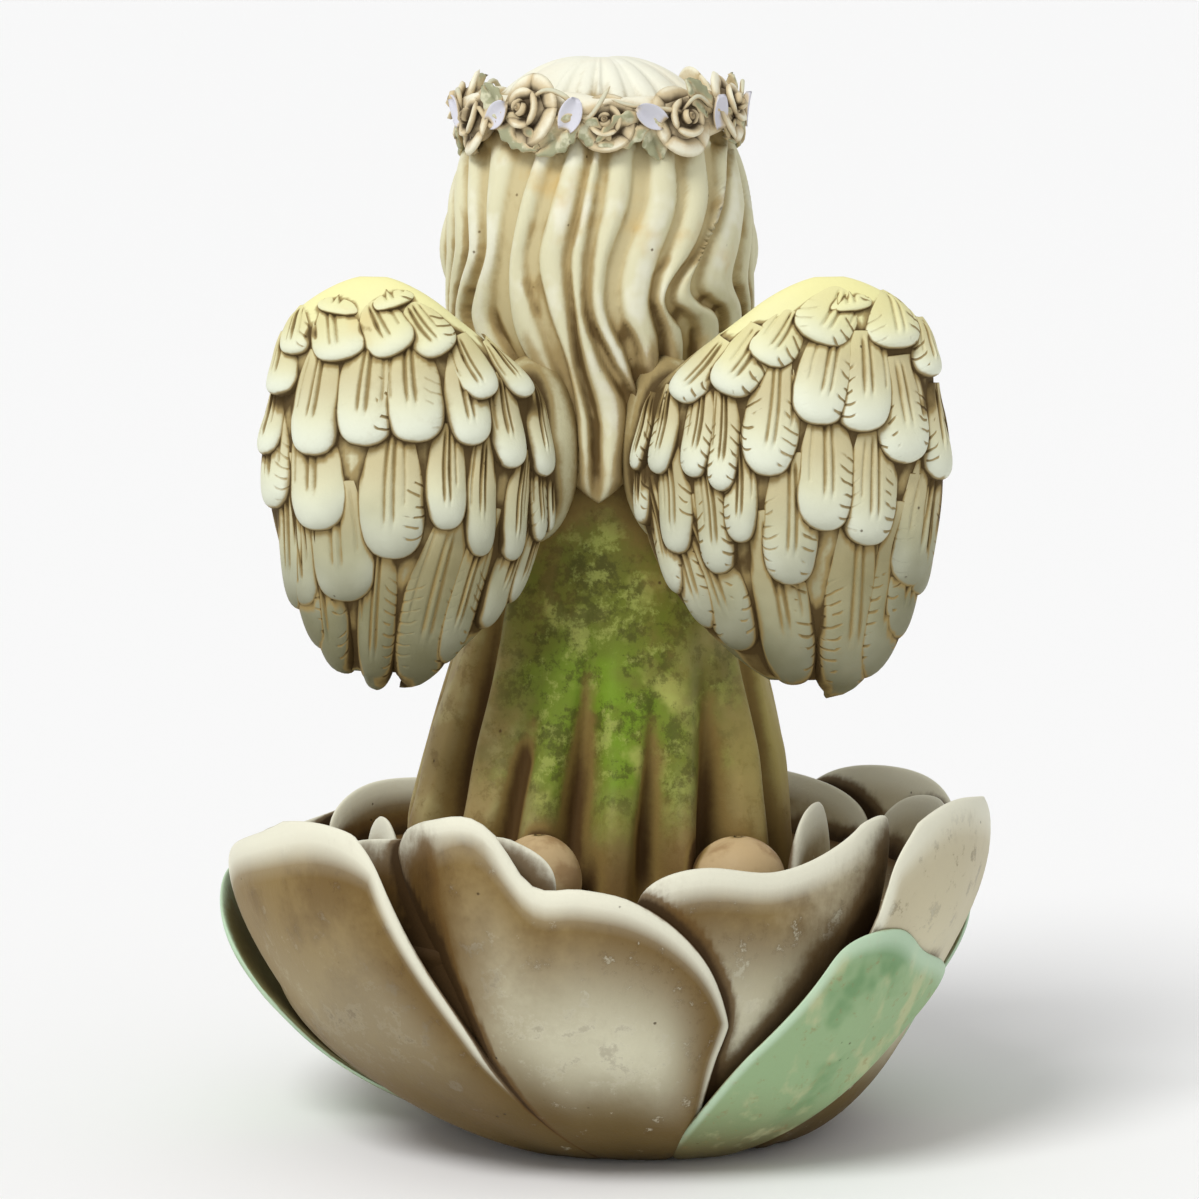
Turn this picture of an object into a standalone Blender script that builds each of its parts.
"""A kneeling angel in a blossom: a painted garden memorial cast in one piece.

Metres, +Z up. She faces -Y, and the origin is the centre of the flat underside.
Azimuths are degrees round the upright axis, 0 at her back (+Y) and 90 at her left (+X).
Each form below is one closed mesh, and the casting is the union of them all.
"""

import math

import bmesh
import bpy
import numpy as np

# The blossom: a superellipse of revolution, cut flat where it stands
BLOSSOM_RADIUS = 0.094
BLOSSOM_RISE = 0.095
BLOSSOM_FULLNESS = 2.45
FLAT_CUT = 0.005
FOOT_DRIFT = 0.011
FOOT_DRIFT_HEIGHT = 0.036
FLOOR_HEIGHT = 0.064
FLOOR_DISH = 0.004
HEART_INSET = 0.0018
PETAL_WALL = 0.0044
SEPAL_WALL = 0.0030

# The figure: heights above the ground
STATUE_HEIGHT = 0.280
HEM_HEIGHT = FLOOR_HEIGHT - 0.006
SHOULDER_HEIGHT = 0.196
NECK_TOP = 0.212
HEAD_CENTRE_HEIGHT = 0.2405
HEAD_RADII = (0.0300, 0.0318, 0.0345)
HEAD_FORWARD = 0.004

# The hair: a sheet over the head that falls to a point between the wings
HAIR_HALF_WIDTH = 0.0388
HAIR_HALF_DEPTH = 0.0375
HAIR_WIDEST_HEIGHT = 0.232
HAIR_THICKNESS = 0.009
HAIR_LOCKS = 21
LOCK_DEPTH = 0.0030

# The wreath
WREATH_HEIGHT = 0.2645
WREATH_RADIUS = 0.0305
WREATH_STEM_RADIUS = 0.0058
ROSE_COUNT = 11
ROSE_RADIUS = 0.0078
LEAF_LENGTH = 0.0110
LEAF_WIDTH = 0.0066

# A wing, measured in its own plan: across from the statue's middle, and down from its top
WING_HALF_WIDTH = 0.0368
WING_LENGTH = 0.1040
WING_MIDDLE = 0.0478
WING_TOP_HEIGHT = 0.2250
WING_BACK = 0.0540
WING_THICKNESS = 0.0080
FEATHER_THICKNESS = 0.0028
# The right wing is a little larger than the left: width and length against the sizes above
WING_SCALES = {1: (1.0, 1.0), -1: (1.07, 1.02)}

FACET_COUNT = 9700
RESIN_COLOUR = (0.80, 0.74, 0.58, 1.0)
RESIN_ROUGHNESS = 0.62


def smooth(low, high, x):
    """0 below low, 1 above high and an S-curve between, as GLSL's smoothstep."""
    t = np.clip((np.asarray(x, float) - low) / (high - low), 0, 1)
    return t * t * (3 - 2 * t)


def unit(vectors):
    length = np.linalg.norm(vectors, axis=-1, keepdims=True)
    return vectors / np.maximum(length, 1e-12)


def mesh_of(name, points, faces):
    mesh = bpy.data.meshes.new(name)
    mesh.from_pydata([tuple(p) for p in points], [], faces)
    form = bmesh.new()
    form.from_mesh(mesh)
    bmesh.ops.remove_doubles(form, verts=form.verts, dist=1e-6)
    bmesh.ops.triangulate(form, faces=form.faces)
    bmesh.ops.recalc_face_normals(form, faces=form.faces)
    if form.calc_volume(signed=True) < 0:
        bmesh.ops.reverse_faces(form, faces=form.faces)
    form.to_mesh(mesh)
    form.free()
    return mesh


def quads(index):
    """The faces between the points of a grid of vertex numbers."""
    a, b, c, d = index[:-1, :-1], index[1:, :-1], index[1:, 1:], index[:-1, 1:]
    return np.stack([a, b, c, d], -1).reshape(-1, 4).tolist()


def grid_normals(points):
    return unit(np.cross(np.gradient(points, axis=0), np.gradient(points, axis=1)))


def thick_sheet(name, middle, half_thickness, relief=0.0):
    """A closed body round a sheet of points: its two skins meet in one line along the border.

    relief moves only the skin on the side that the sheet's normals point to.
    """
    normal = grid_normals(middle)
    upper = middle + normal * (half_thickness + relief)[..., None]
    lower = middle - normal * half_thickness[..., None]
    n, m = middle.shape[:2]
    top = np.arange(n * m).reshape(n, m)
    bottom = top.copy()
    bottom[1:-1, 1:-1] = n * m + np.arange((n - 2) * (m - 2)).reshape(n - 2, m - 2)
    points = np.concatenate([upper.reshape(-1, 3), lower[1:-1, 1:-1].reshape(-1, 3)])
    return mesh_of(name, points, quads(top) + quads(bottom[:, ::-1]))


def loft(name, rings):
    """A closed body through rings of points, with flat ends."""
    rings = np.asarray(rings)
    n, m = rings.shape[:2]
    index = np.arange(n * m).reshape(n, m)
    wrapped = np.concatenate([index, index[:, :1]], axis=1)
    ends = [index[0].tolist(), index[-1][::-1].tolist()]
    return mesh_of(name, rings.reshape(-1, 3), quads(wrapped) + ends)


def ellipsoid(name, centre, radii, around=14, rows=9):
    turns = np.linspace(0, 2 * math.pi, around, endpoint=False)
    rings = []
    for lift in np.linspace(-0.5, 0.5, rows + 2)[1:-1] * math.pi:
        ring = [math.cos(lift) * np.cos(turns), math.cos(lift) * np.sin(turns)]
        rings.append(np.stack([*ring, np.full(around, math.sin(lift))], -1))
    return loft(name, np.array(rings) * np.array(radii) + np.array(centre))


def through(values, where):
    """A smooth curve through evenly spaced values or points; where runs from 0 to 1."""
    values = np.asarray(values, float)
    spot = np.clip(np.asarray(where, float), 0, 1) * (len(values) - 1)
    start = np.minimum(spot.astype(int), len(values) - 2)
    f = (spot - start).reshape(spot.shape + (1,) * (values.ndim - 1))
    first, last = 2 * values[0] - values[1], 2 * values[-1] - values[-2]
    padded = np.concatenate([[first], values, [last]])
    a, b, c, d = (padded[start + i] for i in range(4))
    return b + 0.5 * f * (c - a + f * (2 * a - 5 * b + 4 * c - d + f * (3 * (b - c) + d - a)))


def tube(name, path, widths, around=8, steps=10):
    """A rounded body swept along a smooth path, widths its radius at the path's points."""
    where = np.linspace(0, 1, steps)
    centres, radii = through(path, where), through(widths, where)
    along = unit(np.gradient(centres, axis=0))
    turns = np.linspace(0, 2 * math.pi, around, endpoint=False)
    side = unit(np.cross(along[0], np.array([0.0, 0.6, 0.8])))
    rings = []
    for centre, radius, heading in zip(centres, radii, along):
        side = unit(side - heading * side.dot(heading))
        across = np.cross(heading, side)
        spokes = np.cos(turns)[:, None] * side + np.sin(turns)[:, None] * across
        rings.append(centre + radius * spokes)
    return loft(name, rings)


def edge_spread(count):
    """From -1 to 1, closer together towards both ends."""
    return np.sin(np.linspace(-0.5, 0.5, count) * math.pi)


def rounded(*shares, sharpness=6):
    """The share of a sheet's thickness left at these distances (-1 to 1) from its middle."""
    left = 1.0
    for share in shares:
        left = left * np.sqrt(np.clip(1 - np.abs(share) ** sharpness, 0, 1))
    return left


def united(name, meshes):
    """The union of overlapping closed meshes, as one mesh."""
    helpers = bpy.data.collections.new(name + "_forms")
    objects = [bpy.data.objects.new(f"{name}_{i}", m) for i, m in enumerate(meshes)]
    base = objects[0]
    bpy.context.scene.collection.objects.link(base)
    for other in objects[1:]:
        helpers.objects.link(other)
    union = base.modifiers.new("Union", "BOOLEAN")
    union.operation = "UNION"
    union.operand_type = "COLLECTION"
    union.collection = helpers
    union.solver = "MANIFOLD"
    graph = bpy.context.evaluated_depsgraph_get()
    mesh = bpy.data.meshes.new_from_object(base.evaluated_get(graph))
    for made in objects:
        bpy.data.objects.remove(made)
    bpy.data.collections.remove(helpers)
    return mesh


def blossom_outline(turn, offset=0.0):
    """Radius and height on the blossom's bowl; turn is 0 at the bottom and 90 degrees at the rim."""
    power = 2 / BLOSSOM_FULLNESS
    bent = np.clip(turn, 1e-4, math.pi / 2)
    over = np.maximum(turn - math.pi / 2, 0)
    radius = (BLOSSOM_RADIUS + offset) * np.sin(bent) ** power
    rise = BLOSSOM_RISE * (1 - np.cos(bent) ** power + over)
    return radius, rise - FLAT_CUT


def bowl_point(azimuth, radius, height):
    """A point round the bowl, whose foot stands a little to the statue's right."""
    drift = FOOT_DRIFT * np.clip(1 - height / FOOT_DRIFT_HEIGHT, 0, 1.2) ** 1.5
    return np.stack([radius * np.sin(azimuth) - drift, radius * np.cos(azimuth), height], -1)


def blossom_turn(height):
    """The turn at which the bowl reaches a height."""
    share = (height + FLAT_CUT) / BLOSSOM_RISE
    if share >= 1:
        return math.pi / 2 + share - 1
    return math.acos((1 - share) ** (BLOSSOM_FULLNESS / 2))


def heart_of_blossom():
    """The solid middle that the petals wrap and the angel kneels on."""
    around = 36
    turns = np.linspace(0, 2 * math.pi, around, endpoint=False)
    steps = np.linspace(math.radians(12), blossom_turn(FLOOR_HEIGHT - 0.003), 8)
    rings = []
    for step in steps:
        radius, height = blossom_outline(step, -HEART_INSET - PETAL_WALL / 2)
        rings.append((float(radius), float(height)))
    inner_edge = rings[-1][0] - 0.006
    rings.append((inner_edge, FLOOR_HEIGHT))
    rings.append((inner_edge * 0.55, FLOOR_HEIGHT - FLOOR_DISH))
    points = [bowl_point(turns, r, np.full(around, z)) for r, z in rings]
    return loft("heart", points)


# Each petal: the azimuths of its foot and tip, half its width, how far it stands outside
# the bowl, how far its lip rolls out, how round its corners are, and the height of its
# lip at five places from its right edge to its left, seen from outside
PETALS = {
    "outer_left": (20, 60, 0.045, 0.0005, 0.0050, 0.16, (0.093, 0.0915, 0.0855, 0.0795, 0.073)),
    "outer_back": (2, 3, 0.0480, -0.0005, 0.0010, 0.06, (0.044, 0.0690, 0.0797, 0.0920, 0.0900)),
    "outer_right": (-50, -71, 0.044, -0.0005, 0.0085, 0.12, (0.074, 0.0845, 0.0915, 0.0935, 0.088)),
    "far_left": (118, 128, 0.043, -0.0015, 0.0050, 0.30, (0.062, 0.068, 0.070, 0.072, 0.070)),
    "far_front": (176, 174, 0.046, 0.0000, 0.0060, 0.30, (0.068, 0.074, 0.073, 0.076, 0.070)),
    "far_right": (-120, -124, 0.044, -0.0010, 0.0050, 0.30, (0.074, 0.081, 0.084, 0.083, 0.078)),
    "inner_right": (-26, -29, 0.039, -0.0042, 0.0010, 0.18, (0.096, 0.0865, 0.0812, 0.0838, 0.083)),
    "inner_left": (32, 33, 0.040, -0.0045, -0.0040, 0.14, (0.089, 0.0905, 0.0880, 0.085, 0.078)),
    "inner_side_left": (68, 66, 0.013, -0.0330, 0.0010, 0.35, (0.076, 0.083, 0.085, 0.082, 0.076)),
    "inner_side_right": (-68, -66, 0.015, -0.0340, 0.0010, 0.35, (0.078, 0.086, 0.0885, 0.086, 0.078)),
    "inner_front_left": (150, 150, 0.044, -0.0040, 0.0010, 0.24, (0.074, 0.078, 0.077, 0.074, 0.070)),
    "inner_front_right": (-152, -152, 0.048, -0.0040, 0.0010, 0.24, (0.074, 0.078, 0.080, 0.078, 0.074)),
}
SEPALS = {
    "sepal_right": (-18, -57, 0.038, 0.0042, 0.0030, 0.12, (0.046, 0.051, 0.056, 0.064, 0.066)),
    "sepal_left": (92, 101, 0.034, 0.0030, 0.0060, 0.30, (0.052, 0.059, 0.063, 0.062, 0.054)),
    "sepal_far_right": (-104, -116, 0.035, 0.0045, 0.0050, 0.30, (0.050, 0.057, 0.062, 0.061, 0.056)),
    "sepal_front": (158, 150, 0.038, 0.0030, 0.0040, 0.30, (0.046, 0.053, 0.057, 0.056, 0.048)),
}
PETAL_FOOT_TURN = math.radians(20)
PETAL_CORNER = 5
PETAL_FOOT_WIDTH = 0.10
PETAL_FOOT_SPREAD = 0.8
PETAL_LEAN = 1.2


def petal(name, wall, sizes, across=13, along=10):
    """One petal: a thick leaf bent round the bowl, widest at its waved lip."""
    foot, tip, half_width, stand, roll, corner, lip = sizes
    u, t = np.meshgrid(edge_spread(across), (edge_spread(along) + 1) / 2, indexing="ij")
    cut = 1 - np.clip(1 - np.abs(u) ** PETAL_CORNER, 0, 1) ** (1 / PETAL_CORNER)
    lip_turn = np.array([blossom_turn(height) for height in lip])
    reached = through(lip_turn, (u + 1) / 2) - PETAL_FOOT_TURN
    highest = np.median(lip_turn) - PETAL_FOOT_TURN
    up = t * (1 - corner * cut) * reached
    radius, height = blossom_outline(PETAL_FOOT_TURN + up, stand)
    up = up / highest
    reach = half_width * (PETAL_FOOT_WIDTH + (1 - PETAL_FOOT_WIDTH) * up ** PETAL_FOOT_SPREAD)
    radius = radius + roll * smooth(0.6, 1.0, up)
    lean = math.radians(foot) + math.radians(tip - foot) * up ** PETAL_LEAN
    azimuth = lean + u * reach / np.maximum(radius, 0.03)
    middle = bowl_point(azimuth, radius, height)
    return thick_sheet(name, middle, wall / 2 * rounded(u, 2 * t - 1))


# The robe: half width, depth behind and in front of its axis, and the axis's shift, by height
ROBE = {
    HEM_HEIGHT: (0.0515, 0.0450, 0.0500, 0.0),
    0.0800: (0.0500, 0.0420, 0.0485, 0.0),
    0.1000: (0.0468, 0.0360, 0.0440, -0.0012),
    0.1300: (0.0385, 0.0295, 0.0320, -0.0022),
    0.1500: (0.0315, 0.0260, 0.0240, -0.0010),
    0.1750: (0.0310, 0.0240, 0.0220, 0.0),
    SHOULDER_HEIGHT: (0.0290, 0.0190, 0.0180, 0.0),
    0.2050: (0.0160, 0.0140, 0.0140, 0.0),
    NECK_TOP: (0.0120, 0.0120, 0.0120, 0.0),
}
# Each fold's valley: its azimuth at the hem, its slant towards the waist, depth and top
FOLDS = [
    (-147, -5, 0.0046, 0.138),
    (-120, -3, 0.0050, 0.150),
    (-92, 4, 0.0054, 0.152),
    (-66, 5, 0.0050, 0.168),
    (-42, 5, 0.0078, 0.140),
    (-13, -3, 0.0060, 0.128),
    (12, -5, 0.0066, 0.142),
    (36, -6, 0.0040, 0.118),
    (60, -7, 0.0074, 0.172),
    (92, -4, 0.0054, 0.150),
    (118, 4, 0.0050, 0.146),
    (146, 4, 0.0046, 0.142),
    (178, 0, 0.0052, 0.144),
]
FOLD_TOP_SHARE = 1.05


def robe():
    """The gown, whose skirt falls in folds from the waist and spreads on the blossom's floor."""
    heights = np.linspace(HEM_HEIGHT, NECK_TOP, 14)
    stations = sorted(ROBE)
    sizes = [np.interp(heights, stations, [ROBE[h][i] for h in stations]) for i in range(4)]
    rings = []
    for z, a, b, f, shift in zip(heights, *sizes):
        valleys = []
        for azimuth, slant, depth, top in FOLDS:
            climbed = (z - HEM_HEIGHT) / (top - HEM_HEIGHT)
            cut = depth * float(1 - smooth(0.3, FOLD_TOP_SHARE, climbed))
            valleys.append((azimuth + slant * min(climbed, 1), cut))
        ring = []
        following = valleys[1:] + [(valleys[0][0] + 360, valleys[0][1])]
        for (here, cut), (there, _) in zip(valleys, following):
            for share, carved in ((0, cut), (0.30, 0), (0.70, 0)):
                turn = math.radians(here + share * (there - here))
                reach = b if math.cos(turn) > 0 else f
                x = shift + (a - carved) * math.sin(turn)
                ring.append((x, (reach - carved) * math.cos(turn), z))
        rings.append(ring)
    return loft("robe", rings)


def figure_forms():
    """Feet, sleeves, praying hands, head and features."""
    forms = [
        ellipsoid("foot_left", (0.0155, 0.0470, 0.0725), (0.0110, 0.0095, 0.0120)),
        ellipsoid("foot_right", (-0.0350, 0.0390, 0.0715), (0.0120, 0.0100, 0.0110)),
    ]
    for name, side in (("left", 1), ("right", -1)):
        sleeve = [
            (side * 0.0180, 0.000, 0.198),
            (side * 0.0300, -0.001, 0.192),
            (side * 0.0380, -0.006, 0.172),
            (side * 0.0370, -0.016, 0.154),
            (side * 0.0260, -0.029, 0.151),
            (side * 0.0120, -0.037, 0.160),
            (side * 0.0070, -0.040, 0.166),
        ]
        radii = (0.0080, 0.0115, 0.0120, 0.0125, 0.0120, 0.0115, 0.0090)
        forms.append(tube(f"sleeve_{name}", sleeve, radii, around=10, steps=12))
        hand = [
            (side * 0.0050, -0.0385, 0.160),
            (side * 0.0046, -0.0400, 0.170),
            (side * 0.0038, -0.0410, 0.180),
            (side * 0.0024, -0.0405, 0.189),
            (side * 0.0014, -0.0395, 0.194),
        ]
        radii = (0.0050, 0.0062, 0.0062, 0.0048, 0.0022)
        forms.append(tube(f"hand_{name}", hand, radii, steps=7))
        cheek = (side * 0.0135, -0.0240, 0.2285)
        forms.append(ellipsoid(f"cheek_{name}", cheek, (0.0105, 0.0080, 0.0105), 12, 7))
        lid = (side * 0.0115, -0.0310, 0.2410)
        forms.append(ellipsoid(f"eyelid_{name}", lid, (0.0062, 0.0040, 0.0036), 10, 5))
    head = (0.0, -HEAD_FORWARD, HEAD_CENTRE_HEIGHT)
    forms.append(ellipsoid("head", head, HEAD_RADII, 24, 13))
    forms.append(ellipsoid("nose", (0, -0.0352, 0.2325), (0.0034, 0.0042, 0.0060), 8, 6))
    forms.append(ellipsoid("lips", (0, -0.0296, 0.2208), (0.0060, 0.0032, 0.0026), 10, 5))
    forms.append(ellipsoid("chin", (0, -0.0205, 0.2120), (0.0100, 0.0085, 0.0065), 12, 6))
    return forms


HAIR_DOME_SHARE = 0.40
HAIR_NAPE_TURN = 126
HAIR_CROWN_TURN = 176
HAIR_SQUEEZE = 0.33
HAIR_END_LOW = 0.167
HAIR_END_HIGH = 0.195


def hair_sheet(u, v):
    """Points on the hair: u runs round it, v from the crown to the tips of the locks."""
    dome = np.minimum(v / HAIR_DOME_SHARE, 1)
    fall = np.clip((v - HAIR_DOME_SHARE) / (1 - HAIR_DOME_SHARE), 0, 1)
    tip = HAIR_END_LOW + (HAIR_END_HIGH - HAIR_END_LOW) * smooth(0.12, 0.62, np.abs(u))
    rise = STATUE_HEIGHT - HAIR_THICKNESS / 2 - HAIR_WIDEST_HEIGHT
    height = HAIR_WIDEST_HEIGHT + rise * np.cos(dome * math.pi / 2)
    height = height - (HAIR_WIDEST_HEIGHT - tip) * fall
    turn = HAIR_CROWN_TURN + (HAIR_NAPE_TURN - HAIR_CROWN_TURN) * smooth(0.45, 0.85, dome)
    sway = 9 * np.sin(5.2 * fall + 1.4 * u + 0.6) * fall * (1 - u * u)
    azimuth = np.radians(turn * u * (1 - HAIR_SQUEEZE * smooth(0.1, 1, fall)) + sway)
    out = np.sin(np.clip(dome, 0.04, 1) * math.pi / 2)
    depth = HAIR_HALF_DEPTH - 0.0030 * smooth(0.2, 0.7, fall)
    inset = HAIR_THICKNESS / 2
    x = (HAIR_HALF_WIDTH - inset) * out * np.sin(azimuth)
    y = (depth - inset) * out * np.cos(azimuth)
    return np.stack([x, y, height], -1)


def hair():
    """The hair, with a column of points along each valley and each ridge between locks."""
    columns = np.linspace(-1, 1, 2 * HAIR_LOCKS + 1)
    u, v = np.meshgrid(columns, np.linspace(0, 1, 17), indexing="ij")
    middle = hair_sheet(u, v)
    valley = (np.arange(2 * HAIR_LOCKS + 1) % 2 == 0)[:, None]
    carved = LOCK_DEPTH * np.where(valley, -0.5, 0.5) * smooth(0.02, 0.4, v)
    half = HAIR_THICKNESS / 2 * rounded(u, 2 * v - 1, sharpness=14)
    return thick_sheet("hair", middle, half, carved * rounded(u, 2 * v - 1, sharpness=14))


def front_locks():
    """Locks that fall from each temple to the chest."""
    forms = []
    for side in (1, -1):
        for order in range(3):
            out, back = 0.0335 - 0.0035 * order, 0.010 * order
            fall = [
                (side * (out - 0.002), -0.008 - back, 0.262),
                (side * (out + 0.001), -0.011 - back, 0.245),
                (side * (out + 0.002), -0.009 - back, 0.228),
                (side * (out - 0.001), -0.010 - back, 0.212),
                (side * (out - 0.004), -0.013 - back * 0.8, 0.198),
                (side * (out - 0.009), -0.018 - back * 0.6, 0.184),
                (side * (out - 0.010), -0.019 - back * 0.4, 0.170 + 0.005 * order),
            ]
            widths = (0.0040, 0.0056, 0.0060, 0.0060, 0.0056, 0.0048, 0.0020)
            forms.append(tube(f"lock_{side}_{order}", fall, widths))
    return forms


WIDEST_SHARE = 0.44
WING_ROUNDNESS = 0.62
WING_TOP_DRIFT = 0.0085
WING_TIP_DRIFT = 0.0055
WING_BOW_ACROSS = 0.0200
WING_BOW_DOWN = 0.0140


def wing_middle(down):
    """How far out the wing's middle is, by the distance down from its top."""
    share = down / WING_LENGTH
    top = WING_TOP_DRIFT * (1 - smooth(0.08, 0.32, share))
    return WING_MIDDLE + top + WING_TIP_DRIFT * smooth(0.62, 1.0, share)


def wing_half_width(down):
    share = np.clip(down / WING_LENGTH, 0.004, 0.996)
    above = (WIDEST_SHARE - share) / WIDEST_SHARE
    below = (share - WIDEST_SHARE) / (1 - WIDEST_SHARE)
    far = np.maximum(above, below)
    return WING_HALF_WIDTH * np.clip(1 - far * far, 0, 1) ** WING_ROUNDNESS


def on_wing(plan, side):
    """A point of the wing's plan (across, down, height above the blade) in the statue's frame."""
    wider, longer = WING_SCALES[side]

    def surface(across, down):
        p = (across - WING_MIDDLE) / WING_HALF_WIDTH
        q = (down - 0.46 * WING_LENGTH) / (0.54 * WING_LENGTH)
        back = WING_BACK - WING_BOW_ACROSS * p * p - WING_BOW_DOWN * q * q
        out = WING_MIDDLE + (across - WING_MIDDLE) * wider
        return np.stack([out, back, WING_TOP_HEIGHT - down * longer], -1)

    across, down, lift = plan[..., 0], plan[..., 1], plan[..., 2]
    step = 1e-4
    along = surface(across + step, down) - surface(across - step, down)
    fall = surface(across, down + step) - surface(across, down - step)
    # The feathered side is the one that faces +Y
    normal = unit(np.cross(fall, along))
    normal = normal * np.sign(normal[..., 1:2])
    return (surface(across, down) + normal * lift[..., None]) * np.array([side, 1, 1])


# Each row of feathers: how far down its tips are at the wing's middle, how much lower they
# are at its sides, its count, its share of the wing's width, and its feathers' length and width
FEATHER_ROWS = [
    (0.1040, -0.013, 5, 1.00, 0.046, 0.0150),
    (0.0870, -0.012, 6, 0.96, 0.034, 0.0130),
    (0.0700, -0.006, 7, 1.00, 0.032, 0.0125),
    (0.0480, 0.004, 7, 1.00, 0.028, 0.0125),
    (0.0285, 0.007, 6, 0.96, 0.018, 0.0115),
    (0.0150, 0.002, 3, 0.66, 0.009, 0.0115),
]
FEATHER_ROOT_SHARE = 0.55
FEATHER_FAN = 0.45
WING_BLADE_SHARE = 0.93


FEATHER_OUTLINE = ((0.0, 0.76), (0.45, 1.0), (0.78, 0.94), (0.94, 0.66), (1.0, 0.26))
SHAFT_RISE = 0.0008


def feather(name, side, tip, heading, length, width, root, top):
    """One feather: a tongue sunk in the blade, highest at its rounded tip and along its shaft."""
    beside = np.array([-heading[1], heading[0]])
    rings = []
    for share, spread in FEATHER_OUTLINE:
        spot = tip - heading * length * (1 - share)
        lift = root + (top - root) * share
        ring = []
        for across, level in ((-1, 0), (-1, lift), (0, lift + SHAFT_RISE), (1, lift), (1, 0)):
            ring.append((*(spot + beside * across * spread * width / 2), level))
        rings.append(ring)
    return loft(name, on_wing(np.array(rings), side))


def wing_forms(side):
    """A wing: a curved blade with rows of feathers that overlap downwards on its back."""
    u, t = np.meshgrid(edge_spread(9), (edge_spread(13) + 1) / 2, indexing="ij")
    down = 0.002 + t * (WING_LENGTH - 0.006)
    across = wing_middle(down) + u * wing_half_width(down) * WING_BLADE_SHARE
    half = WING_THICKNESS / 2 * rounded(u, 2 * t - 1, sharpness=4)
    blade = on_wing(np.stack([across, down, 0 * u], -1), side)
    forms = [thick_sheet(f"blade_{side}", blade, half)]
    for row, (low, bow, count, spread, length, width) in enumerate(FEATHER_ROWS):
        for k, share in enumerate(np.linspace(-spread, spread, count)):
            tip_down = low + bow * share * share - 0.0012 * (k % 2)
            level = min(tip_down, 0.93 * WING_LENGTH) - 0.25 * length
            room = wing_half_width(level) - 0.42 * width
            root_level = level - 0.5 * length
            root_room = max(wing_half_width(root_level) - 0.42 * width, 0)
            place = np.array([wing_middle(level) + share * room, level])
            above = np.array([wing_middle(root_level) + share * root_room, root_level])
            heading = unit((place - above) * np.array([FEATHER_FAN, 1.0]))
            tip = place + heading * (tip_down - level)
            root = WING_THICKNESS / 2 * FEATHER_ROOT_SHARE
            top = WING_THICKNESS / 2 + FEATHER_THICKNESS
            forms.append(feather(f"feather_{side}_{row}_{k}", side, tip, heading, length, width, root, top))
    return forms


def wing_root(side):
    """The stub that joins a wing to the shoulder blade."""
    centre = (side * 0.0170, 0.0290, 0.1800)
    return ellipsoid(f"root_{side}", centre, (0.0120, 0.0120, 0.0240), 12, 7)


def wreath_frame(azimuth):
    """A point on the wreath's stem, the way outward there and the way round it."""
    out = np.array([math.sin(azimuth), math.cos(azimuth), 0.0])
    place = out * WREATH_RADIUS + np.array([0, 0, WREATH_HEIGHT])
    return place, out, np.array([math.cos(azimuth), -math.sin(azimuth), 0.0])


def rose(name, azimuth, size, lift):
    """An open rose: a lobed cup round a bud, facing out and a little up."""
    place, out, around = wreath_frame(azimuth)
    facing = unit(out + np.array([0, 0, 0.25]))
    up = np.cross(around, facing)
    lobes, segments = 5, 10
    turns = np.linspace(0, 2 * math.pi, segments, endpoint=False)
    rings = []
    for radius, height, lobing in (
        (0.45, -0.7, 0.0),
        (0.90, 0.05, 0.10),
        (1.0, 0.55, 0.14),
        (0.66, 0.46, 0.05),
        (0.56, 0.86, 0.0),
        (0.22, 0.98, 0.0),
    ):
        reach = size * radius * (1 + lobing * np.cos(lobes * turns))
        ring = [
            place + out * 0.0035 + up * lift + facing * height * size * 0.8
            + r * (math.cos(t) * around + math.sin(t) * up)
            for r, t in zip(reach, turns)
        ]
        rings.append(ring)
    return loft(name, rings)


def wreath_leaf(name, azimuth, droop):
    """A pointed leaf lying on the wreath, folded along its midrib."""
    place, out, around = wreath_frame(azimuth)
    heading = unit(around * math.cos(droop) + np.array([0, 0, math.sin(droop)]))
    s, q = np.meshgrid(np.linspace(0, 1, 5), np.linspace(-1, 1, 5), indexing="ij")
    reach = LEAF_WIDTH / 2 * np.sin(math.pi * np.clip(0.12 + 0.84 * s, 0, 1)) ** 0.8
    side = np.cross(out, heading)
    base = place + out * (WREATH_STEM_RADIUS + 0.0010)
    middle = base + heading * (s * LEAF_LENGTH)[..., None] + side * (q * reach)[..., None]
    middle = middle + out * (0.0016 * np.abs(q) - 0.0010 * s)[..., None]
    return thick_sheet(name, middle, 0.0013 * rounded(q, 2 * s - 1))


def wreath_forms():
    turns = np.linspace(0, 2 * math.pi, 24, endpoint=False)
    rings = []
    for turn in turns:
        place, out, _ = wreath_frame(turn)
        swell = WREATH_STEM_RADIUS * (1 + 0.12 * math.sin(5 * turn))
        rings.append([
            place + swell * (math.cos(a) * out + math.sin(a) * np.array([0, 0, 1.0]))
            for a in np.linspace(0, 2 * math.pi, 6, endpoint=False)
        ])
    index = np.arange(24 * 6).reshape(24, 6)
    index = np.concatenate([index, index[:1]])
    index = np.concatenate([index, index[:, :1]], axis=1)
    forms = [mesh_of("stem", np.array(rings).reshape(-1, 3), quads(index))]
    for k in range(ROSE_COUNT):
        azimuth = math.radians(-3 + 360 * k / ROSE_COUNT)
        small = 0.82 if k % 4 == 0 else 1.0
        lift = -0.0020 if k % 2 == 0 else 0.0012
        forms.append(rose(f"rose_{k}", azimuth, ROSE_RADIUS * small, lift))
        half_way = azimuth + math.pi / ROSE_COUNT
        droop = math.radians(-150 if k % 2 else -35)
        forms.append(wreath_leaf(f"leaf_{k}", half_way, droop))
    return forms


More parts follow.
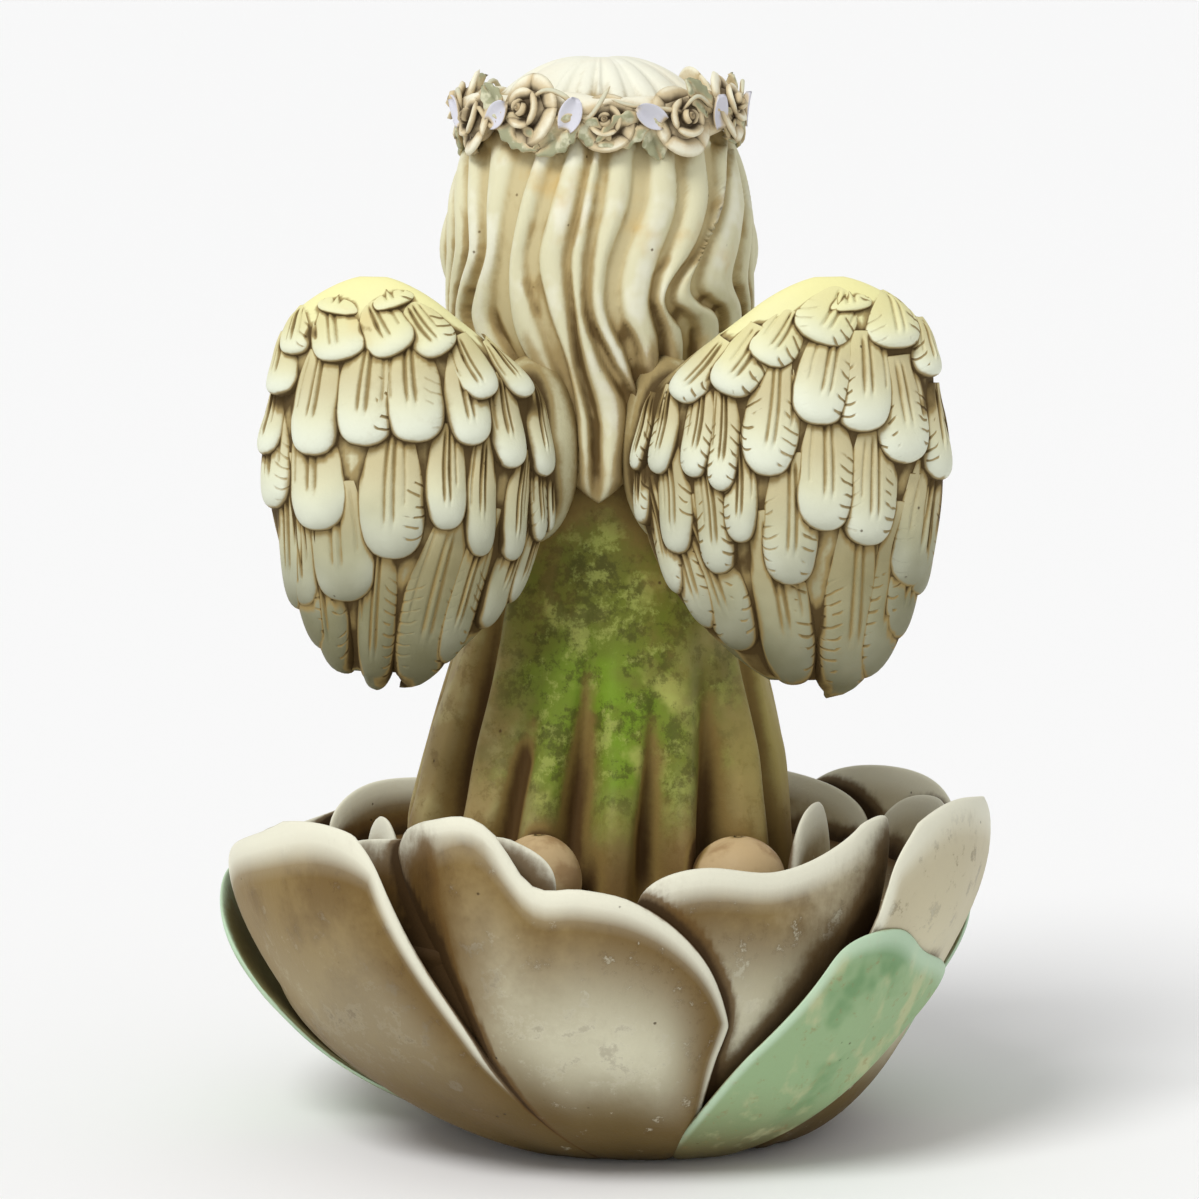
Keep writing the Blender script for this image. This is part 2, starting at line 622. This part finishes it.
def ground():
    """Everything below the flat the statue stands on, as a cutter."""
    deep, wide = 0.05, 0.3
    corners = [(x, y, z) for x in (-wide, wide) for y in (-wide, wide) for z in (-deep, 0)]
    faces = [[0, 1, 3, 2], [4, 6, 7, 5], [0, 4, 5, 1], [2, 3, 7, 6], [0, 2, 6, 4], [1, 5, 7, 3]]
    return mesh_of("ground", corners, faces)


def one_body(mesh):
    """Keeps the outer skin alone: a casting has none of the pockets shut in between forms."""
    shape = bmesh.new()
    shape.from_mesh(mesh)
    waiting = set(shape.faces)
    islands = []
    while waiting:
        island, edge = set(), [next(iter(waiting))]
        while edge:
            face = edge.pop()
            if face not in island:
                island.add(face)
                edge.extend(f for e in face.edges for f in e.link_faces)
        waiting -= island
        islands.append(island)
    islands.sort(key=len)
    for island in islands[:-1]:
        bmesh.ops.delete(shape, geom=list(island), context="FACES")
    loose = [v for v in shape.verts if not v.link_faces]
    bmesh.ops.delete(shape, geom=loose, context="VERTS")
    shape.to_mesh(mesh)
    shape.free()
    return mesh


def resin():
    material = bpy.data.materials.new("painted_resin")
    material.use_nodes = True
    shader = material.node_tree.nodes["Principled BSDF"]
    shader.inputs["Base Color"].default_value = RESIN_COLOUR
    shader.inputs["Roughness"].default_value = RESIN_ROUGHNESS
    shader.inputs["Metallic"].default_value = 0.0
    return material


def cast():
    """Joins every form and cuts the casting flat where it stands."""
    forms = [heart_of_blossom()]
    forms += [petal(name, PETAL_WALL, sizes) for name, sizes in PETALS.items()]
    forms += [petal(name, SEPAL_WALL, sizes, 9, 8) for name, sizes in SEPALS.items()]
    forms += [robe(), *figure_forms(), hair(), *front_locks(), *wreath_forms()]
    for side in (1, -1):
        forms += [*wing_forms(side), wing_root(side)]
    whole = one_body(united("casting", forms))
    statue = bpy.data.objects.new("angel_in_blossom", whole)
    bpy.context.scene.collection.objects.link(statue)
    cutter = bpy.data.objects.new("ground", ground())
    cutter.hide_render = True
    cutter.display_type = "WIRE"
    bpy.context.scene.collection.objects.link(cutter)
    facets = statue.modifiers.new("Facets", "DECIMATE")
    facets.ratio = min(1.0, FACET_COUNT / sum(len(f.vertices) - 2 for f in whole.polygons))
    flat = statue.modifiers.new("Flat underside", "BOOLEAN")
    flat.operation = "DIFFERENCE"
    flat.solver = "MANIFOLD"
    flat.object = cutter
    graph = bpy.context.evaluated_depsgraph_get()
    mesh = bpy.data.meshes.new_from_object(statue.evaluated_get(graph))
    statue.modifiers.clear()
    bpy.data.objects.remove(cutter)
    statue.data = one_body(mesh)
    statue.data.name = "angel_in_blossom"
    statue.data.materials.clear()
    statue.data.materials.append(resin())
    statue.data.shade_smooth()
    statue.data.set_sharp_from_angle(angle=math.radians(40))
    return statue


for old in list(bpy.data.objects):
    bpy.data.objects.remove(old)
cast()
